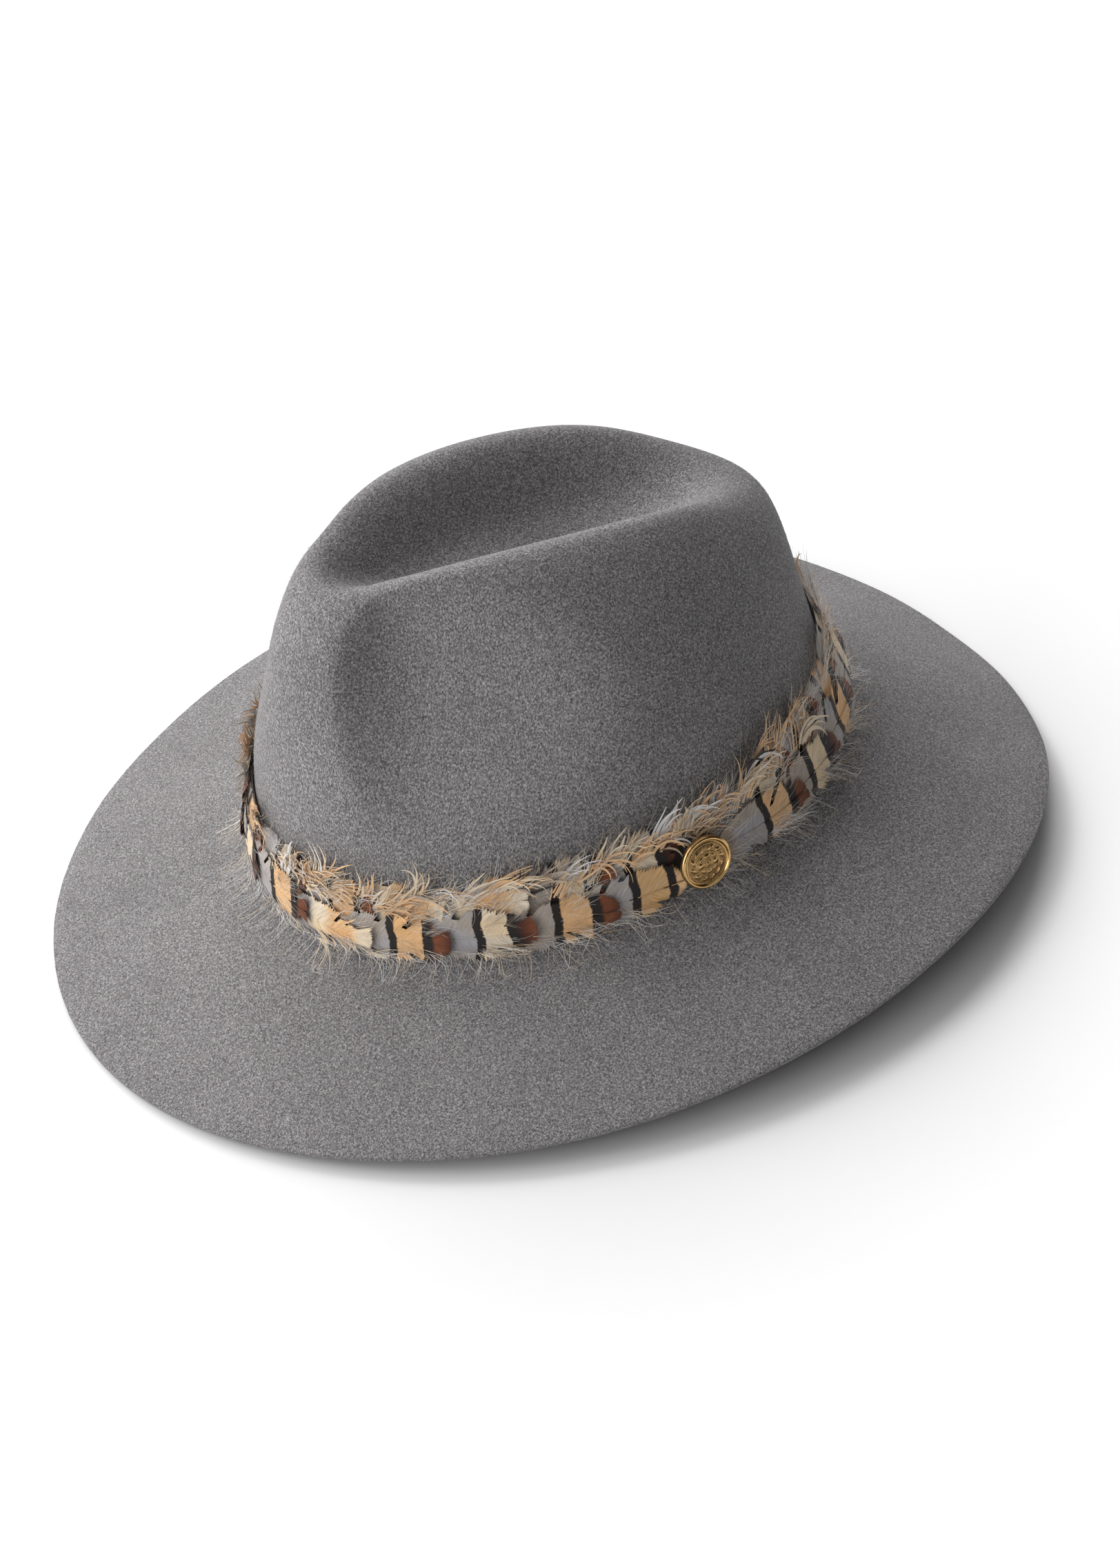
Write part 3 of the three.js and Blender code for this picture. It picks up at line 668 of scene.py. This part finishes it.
# ---------------------------------------------------------------- the hatband
def tape():
    """The ribbon that the feathers are sewn to, and the patch over its join."""
    u = np.linspace(0.6, LENGTH - 0.6, 420)
    h = np.concatenate([[5.0], np.linspace(5.25, 26.75, 14), [27.0]])
    uu, hh = np.meshgrid(u, h)
    soft = np.where((h < 5.1) | (h > 26.9), 0.3, 0.0)[:, None] + 0 * uu
    rows = [*band(uu, hh, 1.12 - soft)[0], *band(uu, hh, 0.48 + 0.1 * soft)[0][::-1]]
    count, cols = len(rows), len(u)
    ends = []
    for c, flip in ((0, False), (cols - 1, True)):
        for j in range(count // 2 - 1):
            f = [j * cols + c, (j + 1) * cols + c, (count - 2 - j) * cols + c, (count - 1 - j) * cols + c]
            ends.append(f if flip else f[::-1])
    quads = np.concatenate([sheet_quads(count, cols, True), ends])
    o = mesh("hatband_ribbon", np.concatenate(rows), quads, looks=[BAND_RIBBON],
             values={"along": np.tile(u, count)})
    wear(o, "feather_band", "band_ribbon", "hatband_tape")

    rows, cols, half_width, half_height = 31, 15, 3.4, 10
    x, y = np.meshgrid(np.linspace(-1, 1, cols) * half_width, np.linspace(-1, 1, rows) * half_height)
    top = band(x, 16 + y, 1.8 - 0.12 * (x / half_width) ** 6)[0].reshape(-1, 3)
    low = band(x, 16 + y, 1.47 + 0 * x)[0].reshape(-1, 3)
    face, under, edge = leaf_quads(rows, cols)
    o = mesh("hatband_join", np.concatenate([top, low]), np.concatenate([face, under, edge[:, ::-1]]),
             looks=[BAND_RIBBON], values={"along": np.tile(y.ravel(), 2)})
    wear(o, "feather_band", "band_ribbon", "hatband_join_patch")


# Each row of feathers: height of its middle, rise from base to tip, and distance out from the felt.
ROWS = {"upper": (21.5, 3.5, 1.3), "lower": (11.5, -2.5, 3.1)}
PER_ROW, QUILL = 22, 41.0
FIRST, JOIN_GAP = 4, 8
PITCH = (LENGTH - JOIN_GAP - QUILL) / (PER_ROW - 1)
BARBS, STEPS = 46, 9
FRAYED = 4  # the kind of feather with more and wider splits


def spread(r, every):
    """A smooth random value for each barb, drawn at every so many barbs."""
    return np.interp(np.arange(BARBS), np.arange(0, BARBS, every), r.normal(size=len(range(0, BARBS, every))))


def vane(row, i):
    """One feather: barbs leave the quill on both sides, zipped into a vane that splits here and there."""
    height, tilt, off = ROWS[row]
    r = np.random.default_rng(1000 + i * 2 + (row == "lower"))
    kind = int(PATTERN[row][i])
    start = FIRST + i * PITCH + r.uniform(-1.5, 1.5)
    h0 = height + 0.8 * math.sin(i * 2.4 + (row == "lower")) + r.uniform(-1.2, 1.2)
    slope = tilt + r.uniform(-2.5, 2.5)
    bend, roll = r.uniform(-2, 2), r.uniform(-0.5, 0.5)
    half, length = 9.4 * r.uniform(0.9, 1.08), QUILL * r.uniform(0.93, 1.0)
    k, x = np.linspace(0, 1, BARBS), np.linspace(0, 1, STEPS)
    pts, quads, tris = [], [], []
    values = {"f": [], "g": [], "q": [], "r": []}
    for side in (1, -1):
        th = np.radians(150) * (1 - k)
        xe = 0.56 * length + 0.44 * length * np.cos(th)
        ye = half * np.sin(th) ** 0.62
        root = (0.03 + 0.9 * k) * length
        ragged = 1 + 0.05 * spread(r, 3) + 0.03 * r.normal(size=BARBS)
        shift, cut = np.zeros(BARBS), {}
        for _ in range(r.integers(6, 9) if kind == FRAYED else r.integers(2, 5)):
            j, opening = int(r.integers(8, BARBS - 5)), r.uniform(0.5, 2.4 if kind == FRAYED else 1.5)
            reach = np.arange(BARBS) - j - 0.5
            shift += np.sign(reach) * opening * np.exp(-np.abs(reach) / 3.5)
            cut[j] = int(r.integers(3, 7))
        xe, ye = xe + shift, ye * np.clip(ragged, 0.8, 1.12)
        dx = xe - root
        px = root[:, None] + dx[:, None] * (0.8 * x + 0.2 * x ** 2)[None, :]
        py = ye[:, None] * (x ** 0.92)[None, :]
        fx, gy = px / QUILL, side * py / half
        lift = 0.55 * (1 - gy ** 2) + 1.3 * smooth(fx, 0.7, 1.0) * r.uniform(0.2, 1.0)
        lift += roll * gy * smooth(fx, 0.2, 0.8)
        lift += 0.35 * x[None, :] ** 2 * spread(r, 4)[:, None]
        lift = np.maximum(lift, 0.02)
        uu = start + px
        hh = h0 + slope * (fx - 0.5) + bend * (fx - 0.5) ** 2 * 2 + side * py
        tuck = smooth(hh, 24, 30) if row == "upper" else 1 - smooth(hh, 2, 8)
        dd = (off + 0.8 * fx * QUILL / PITCH) * (1 - 0.55 * tuck) + lift * (1 - 0.5 * tuck)
        base = sum(len(p) for p in pts)
        pts.append(band(uu, hh, dd)[0].reshape(-1, 3))
        which_barb, on_barb = np.repeat(k[:, None], STEPS, 1), np.repeat(x[None, :], BARBS, 0)
        for key, v in (("f", fx), ("g", gy), ("q", which_barb), ("r", on_barb)):
            values[key].append(v.ravel())
        for j in range(BARBS - 1):
            for s in range(STEPS - 1):
                a = base + j * STEPS + s
                b = a + STEPS
                if j in cut and s >= cut[j]:
                    continue
                if s == STEPS - 2:
                    tris.append([a, a + 1, b] if side < 0 else [a, b, a + 1])
                else:
                    quads.append([a, a + 1, b + 1, b] if side < 0 else [a, b, b + 1, a + 1])
    # quill: a raised rib
    x = np.linspace(0.0, 0.95, 20)
    middle = h0 + slope * (x - 0.5) + bend * (x - 0.5) ** 2 * 2
    out = off + 0.8 * x * QUILL / PITCH + 0.6 + 1.3 * smooth(x, 0.7, 1.0) * 0.6
    ridge = [band(start + x * length, middle + w * 0.28 * (1.1 - x), out + up)[0]
             for w, up in ((-1, 0.0), (0, 0.28), (1, 0.0))]
    quads += (sheet_quads(3, 20) + sum(len(p) for p in pts)).tolist()
    pts.append(np.concatenate(ridge))
    for key, v in (("f", np.tile(x, 3)), ("g", np.zeros(60)), ("q", np.tile(x, 3)), ("r", np.full(60, 0.1))):
        values[key].append(v)
    points = np.concatenate(pts)
    values = {key: np.concatenate(v) for key, v in values.items()}
    values["seed"] = np.full(len(points), r.uniform(0, 60))
    o = mesh(f"vane_{row}_{i + 1:02d}", points, quads, tris, [FEATHER_LOOKS[kind]], values=values)
    wear(o, "feather_band", "feather", f"feather_{row}_{i + 1:02d}")


def plumes():
    """Loose down at each feather's base, long curled barbs along the top edge and single stray hairs."""
    r = np.random.default_rng(42)

    def hairs(name, u, h, d, heading, turn, length, lift, width, tones, steps=8, curl=0.0):
        path, face = wander(u, h, d, heading, turn, length, lift, steps, curl)
        taper = 1 - np.linspace(0, 1, steps) ** 2 * 0.8
        o = strips(name, path, taper[None, :] * width[:, None], face, PLUME_TONES, tones)
        wear(o, "feather_band", "feather")

    u, h, d, a = [], [], [], []
    for height, tilt, off in ROWS.values():
        for i in range(PER_ROW):
            n = 66
            y = r.choice([-1, 1], n) * r.uniform(0, 1, n) ** 0.6 * 9.0
            u.append(FIRST + i * PITCH + r.uniform(-2, 9, n))
            h.append(height - tilt / 2 + y)
            d.append(off + 0.9 + r.uniform(0, 1.0, n))
            a.append(0.11 * y + r.normal(0, 0.35, n))
    u, h, d, a = map(np.concatenate, (u, h, d, a))
    n = len(u)
    hairs("down", u, h, d, a, r.normal(0, 0.8, n), r.uniform(4, 13, n), r.uniform(0.2, 2.6, n),
          r.uniform(0.08, 0.17, n), r.choice(6, n, p=[0.28, 0.06, 0.14, 0.14, 0.32, 0.06]))
    # fluff along both edges, close to the felt
    n = 3400
    low = r.uniform(size=n) < 0.28
    u = r.uniform(0, LENGTH, n)
    thick = 0.5 + 0.5 * np.sin(u / 13.0 + 2) * np.sin(u / 31.0)
    keep = r.uniform(size=n) < 0.35 + 0.65 * thick
    u, low = u[keep], low[keep]
    n = len(u)
    h = np.where(low, r.uniform(1.0, 6, n), r.uniform(22, 29, n))
    a = np.where(low, r.uniform(-1.5, 0.5, n), r.uniform(0.1, 1.7, n))
    hairs("edge_fluff", u, h, r.uniform(0.4, 2.4, n), a, r.normal(0, 0.9, n), r.uniform(4, 12, n),
          r.uniform(0.2, 2.5, n), r.uniform(0.07, 0.15, n),
          r.choice(6, n, p=[0.32, 0.1, 0.16, 0.08, 0.28, 0.06]))
    # long flat barbs: locks that leave the upper row's edge together and bend over towards the tips
    cols = [[] for _ in range(9)]
    for _ in range(300):
        n = int(r.integers(4, 10))
        u0, h0 = r.uniform(0, LENGTH), r.uniform(20, 29)
        dense = 0.5 + 0.5 * math.sin(u0 / 17.0 + 0.4)
        if r.uniform() > 0.25 + 0.75 * dense:
            continue
        a0, b0 = r.uniform(0.45, 1.35), r.uniform(-1.9, -0.2)
        if r.uniform() < 0.2:
            b0 = -b0 * 0.6
        l0, c0 = r.uniform(8, 17), int(r.choice([0, 1, 4, 2, 6], p=[0.30, 0.48, 0.10, 0.07, 0.05]))
        broad = r.uniform(0.4, 1.3)
        for store, v in zip(cols, (
                u0 + np.linspace(-1, 1, n) * 0.42 * n * broad + r.normal(0, 0.25, n),
                h0 + r.normal(0, 0.9, n),
                np.full(n, 2.2) + r.uniform(0, 1.8), a0 + r.normal(0, 0.09, n), b0 + r.normal(0, 0.3, n),
                l0 * r.uniform(0.65, 1.1, n), np.where(r.uniform(size=n) < 0.8, c0, r.integers(0, 5, n)),
                broad * r.uniform(0.5, 1.25, n), r.normal(0, 0.5, n))):
            store.append(v)
    u, h, d, a, b, size, tone, wide, curl = map(np.concatenate, cols)
    hairs("curled_barbs", u, h, d, a, b, size, r.uniform(0.6, 3.6, len(u)), wide, tone, 11, curl)
    # wisps: bundles of fine hairs that spread from one point
    cols = [[] for _ in range(7)]
    for _ in range(95):
        n = int(r.integers(8, 18))
        top = r.uniform() < 0.7
        u0, h0 = r.uniform(0, LENGTH), r.uniform(20, 28) if top else r.uniform(2, 7)
        a0 = r.uniform(0.3, 1.2) if top else r.uniform(-1.0, 0.2)
        c0 = int(r.choice([0, 4, 2], p=[0.45, 0.4, 0.15]))
        for store, v in zip(cols, (
                u0 + r.normal(0, 0.5, n), h0 + r.normal(0, 0.5, n), np.full(n, 2.5) + r.uniform(0, 2, n),
                a0 + r.normal(0, 0.35, n), r.normal(-0.5, 0.7, n), r.uniform(6, 15, n), np.full(n, c0))):
            store.append(v)
    u, h, d, a, b, size, tone = map(np.concatenate, cols)
    n = len(u)
    hairs("wisps", u, h, d, a, b, size, r.uniform(0.5, 4.5, n), r.uniform(0.08, 0.15, n), tone, 10)
    n = 1100
    top = r.uniform(size=n) < 0.6
    u, h = r.uniform(0, LENGTH, n), np.where(top, r.uniform(22, 30, n), r.uniform(2, 8, n))
    a = np.where(top, r.uniform(0.1, 1.9, n), r.uniform(-1.6, 0.2, n))
    hairs("stray_hairs", u, h, np.full(n, 3.2), a, r.normal(0, 0.8, n), r.uniform(4, 14, n),
          r.uniform(0.5, 5, n), r.uniform(0.06, 0.12, n),
          r.choice([0, 2, 4, 5, 6], n, p=[0.3, 0.16, 0.36, 0.1, 0.08]), 9)


# ---------------------------------------------------------------- the button
def button():
    t, s = np.array([BUTTON_AT]), wall_s(np.array([0.0]), np.array([14.0]))
    foot, axis = surface(t, s)[0], outward(t, s)[0]
    along = unit(np.cross([0, 0, 1.0], axis))
    up = np.cross(axis, along)

    def place(x, y, d):
        x, y, d = (np.asarray(v, float)[..., None] for v in np.broadcast_arrays(x, y, d))
        return foot + along * x + up * y + axis * d

    cols, b0 = 240, 6.6
    th = np.linspace(0, TAU, cols + 1)[:-1]
    r = np.concatenate([np.linspace(0.04, 7.1, 110), np.linspace(7.15, 9.0, 30)])
    shape = np.interp(r, [0, 2.7, 5.4, 6.9, 7.3, 7.6, 7.95, 8.45, 8.8, 8.97, 9.0],
                      [2.62, 2.5, 2.1, 1.62, 1.5, 1.62, 2.12, 2.12, 1.9, 1.6, 1.5])
    rr, tt = np.meshgrid(r, th, indexing="ij")
    bump = lambda x, w: np.exp(-(x / w) ** 2)
    relief = 0.26 * bump(rr, 0.55) + 0.2 * bump(rr - 1.35, 0.16)
    relief += 0.3 * bump(rr - 2.7, 0.75) * np.clip(np.cos(4 * tt), 0, 1) ** 0.8
    relief += 0.22 * bump(rr - 3.1, 0.45) * np.clip(np.cos(4 * tt + math.pi), 0, 1) ** 1.5
    relief += 0.16 * bump(rr - 4.15, 0.14)
    swirl = 12 * tt + 1.6 * (rr - 5.4)
    relief += 0.32 * bump(rr - 5.4, 0.72) * np.clip(np.sin(swirl), 0, 1) ** 0.9
    relief += 0.16 * bump(rr - 5.3, 0.3) * np.clip(np.cos(2 * swirl), 0, 1)
    relief += 0.14 * bump(rr - 6.75, 0.17) * (0.5 + 0.5 * np.cos(48 * tt))
    z = b0 + shape[:, None] + relief
    hollow = np.clip(0.75 - relief / 0.22, 0, 1) * (rr < 7.1) * 0.75
    rows = [place(rr[i] * np.cos(th), rr[i] * np.sin(th), z[i]) for i in range(len(r))]
    hollows = [hollow[i] for i in range(len(r))]
    for radius, d in ((9.0, 1.3), (9.0, 0.6), (8.94, 0.42), (8.75, 0.2), (8.45, 0.0), (8.0, -0.08),
                      (8.0, 0.9), (7.5, 1.0), (0.04, 1.5)):
        rows.append(place(radius * np.cos(th), radius * np.sin(th), b0 + d))
        hollows.append(np.full(cols, 0.2))
    points = np.concatenate([*rows, [place(0, 0, z[0].mean())], [place(0, 0, b0 + 1.5)]])
    quads = sheet_quads(len(rows), cols, False, True)[:, ::-1]
    o = mesh("button_shell", points, quads, end_fans(len(rows), cols), [GOLD],
             values={"hollow": np.concatenate([*hollows, [0.0, 0.2]])})
    wear(o, "button", "button_brass", "button_front")
    # back plate with a rolled step
    outline = [(0.04, 0.58), (5.0, 0.52), (7.4, 0.42), (7.58, 0.34), (7.58, 0.14), (7.3, 0.02), (6.2, -0.06),
               (5.4, -0.16), (4.6, -0.26), (2.4, -0.28), (0.04, -0.3)]
    rows = [place(a * np.cos(th), a * np.sin(th), b0 + d) for a, d in outline]
    points = np.concatenate([*rows, [place(0, 0, b0 + 0.58)], [place(0, 0, b0 - 0.3)]])
    quads = sheet_quads(len(rows), cols, False, True)[:, ::-1]
    o = mesh("button_backplate", points, quads, end_fans(len(rows), cols), [GOLD],
             values={"hollow": np.full(len(points), 0.25)})
    wear(o, "button", "button_brass", "button_back")

    def loop(name, look, angles, ring, wire, centre, closed, sideways, body, slot, node):
        b = np.linspace(0, TAU, 17)[:-1]
        aa, bb = np.meshgrid(angles, b, indexing="ij")
        q, w = ring + wire * np.cos(bb), wire * np.sin(bb)
        x, y = (w, q * np.cos(aa)) if sideways else (q * np.cos(aa), w)
        pts = place(x, y, centre + q * np.sin(aa)).reshape(-1, 3)
        quads = sheet_quads(len(angles), 16, closed, True)
        last = len(pts) - 16
        caps = [] if closed else [[0, k, k + 1] for k in range(1, 15)]
        caps += [] if closed else [[last, last + k + 1, last + k] for k in range(1, 15)]
        o = mesh(name, pts, quads if sideways else quads[:, ::-1], caps, [look],
                 values={"hollow": np.full(len(pts), 0.2)})
        wear(o, body, slot, node)

    loop("button_loop", GOLD, np.linspace(0, TAU, 65)[:-1], 1.45, 0.4, b0 - 2.55, True, False,
         "button", "button_brass", "button_shank")
    loop("button_tie", THREAD, np.linspace(0.02, math.pi - 0.02, 40), 1.8, 0.28, b0 - 4.1, False, True,
         "feather_band", "thread", "button_thread")


# ---------------------------------------------------------------- camera, floor, light
def studio():
    az, el, roll, dist = np.radians([65.5, 38.7, -6.7]).tolist() + [1.3]
    back = Vector((math.sin(az) * math.cos(el), -math.cos(az) * math.cos(el), math.sin(el)))
    right = Vector((math.cos(az), math.sin(az), 0))
    up = back.cross(right)
    ix = right * math.cos(roll) + up * math.sin(roll)
    iy = up * math.cos(roll) - right * math.sin(roll)
    target = Vector(M([0, 0, 33.3]))
    cam = bpy.data.cameras.new("camera")
    cam.sensor_fit, cam.sensor_width, cam.lens = "HORIZONTAL", 36, 127.15
    cam.clip_start, cam.clip_end = 0.05, 50
    cam.shift_x, cam.shift_y = 0.005, -0.021
    o = bpy.data.objects.new("camera", cam)
    bpy.context.scene.collection.objects.link(o)
    o.matrix_world = Matrix.Translation(target + back * dist) @ Matrix((ix, iy, back)).transposed().to_4x4()
    bpy.context.scene.camera = o

    floor = bpy.data.meshes.new("floor")
    floor.from_pydata([(-6, -6, 0), (6, -6, 0), (6, 6, 0), (-6, 6, 0)], [], [(0, 1, 2, 3)])
    f = bpy.data.objects.new("floor", floor)
    f.location.z = cad_box[0][2] - 0.0003
    bpy.context.scene.collection.objects.link(f)
    k = Look("floor", Roughness=0.8, Specular_IOR_Level=0.2)
    floor.materials.append(k.paint(k.ramp(k.noise(k.place(), 6, 3), [(0.3, 0.79), (0.7, 0.81)])))

    for name, energy, angle, way in (
            ("key", 2.3, 56, (-0.50, -0.66, 0.58)), ("back", 2.9, 56, (-0.74, 0.16, 0.58)),
            ("side", 1.5, 40, (0.20, -0.92, 0.30)), ("top", 0.7, 90, (0.05, -0.15, 1.0))):
        light = bpy.data.lights.new(name, "SUN")
        light.energy, light.angle = energy, math.radians(angle)
        k = bpy.data.objects.new(name, light)
        bpy.context.scene.collection.objects.link(k)
        k.rotation_euler = Vector(way).to_track_quat("Z", "Y").to_euler()
    world = bpy.data.worlds.new("world")
    world.use_nodes = True
    world.node_tree.nodes["Background"].inputs[0].default_value = (0.97, 0.98, 1.0, 1)
    world.node_tree.nodes["Background"].inputs[1].default_value = 0.03
    bpy.context.scene.world = world
    bpy.context.scene.view_settings.view_transform = "Standard"


studio()
felt()
nap("nap_brim", 42000, 0.0, 0.22, 1.2, 11)
nap("nap_crown", 42000, 0.22, 1.0, 1.3, 12)
lining()
sweatband()
bow()
tape()
for _row in ROWS:
    for _i in range(PER_ROW):
        vane(_row, _i)
plumes()
button()
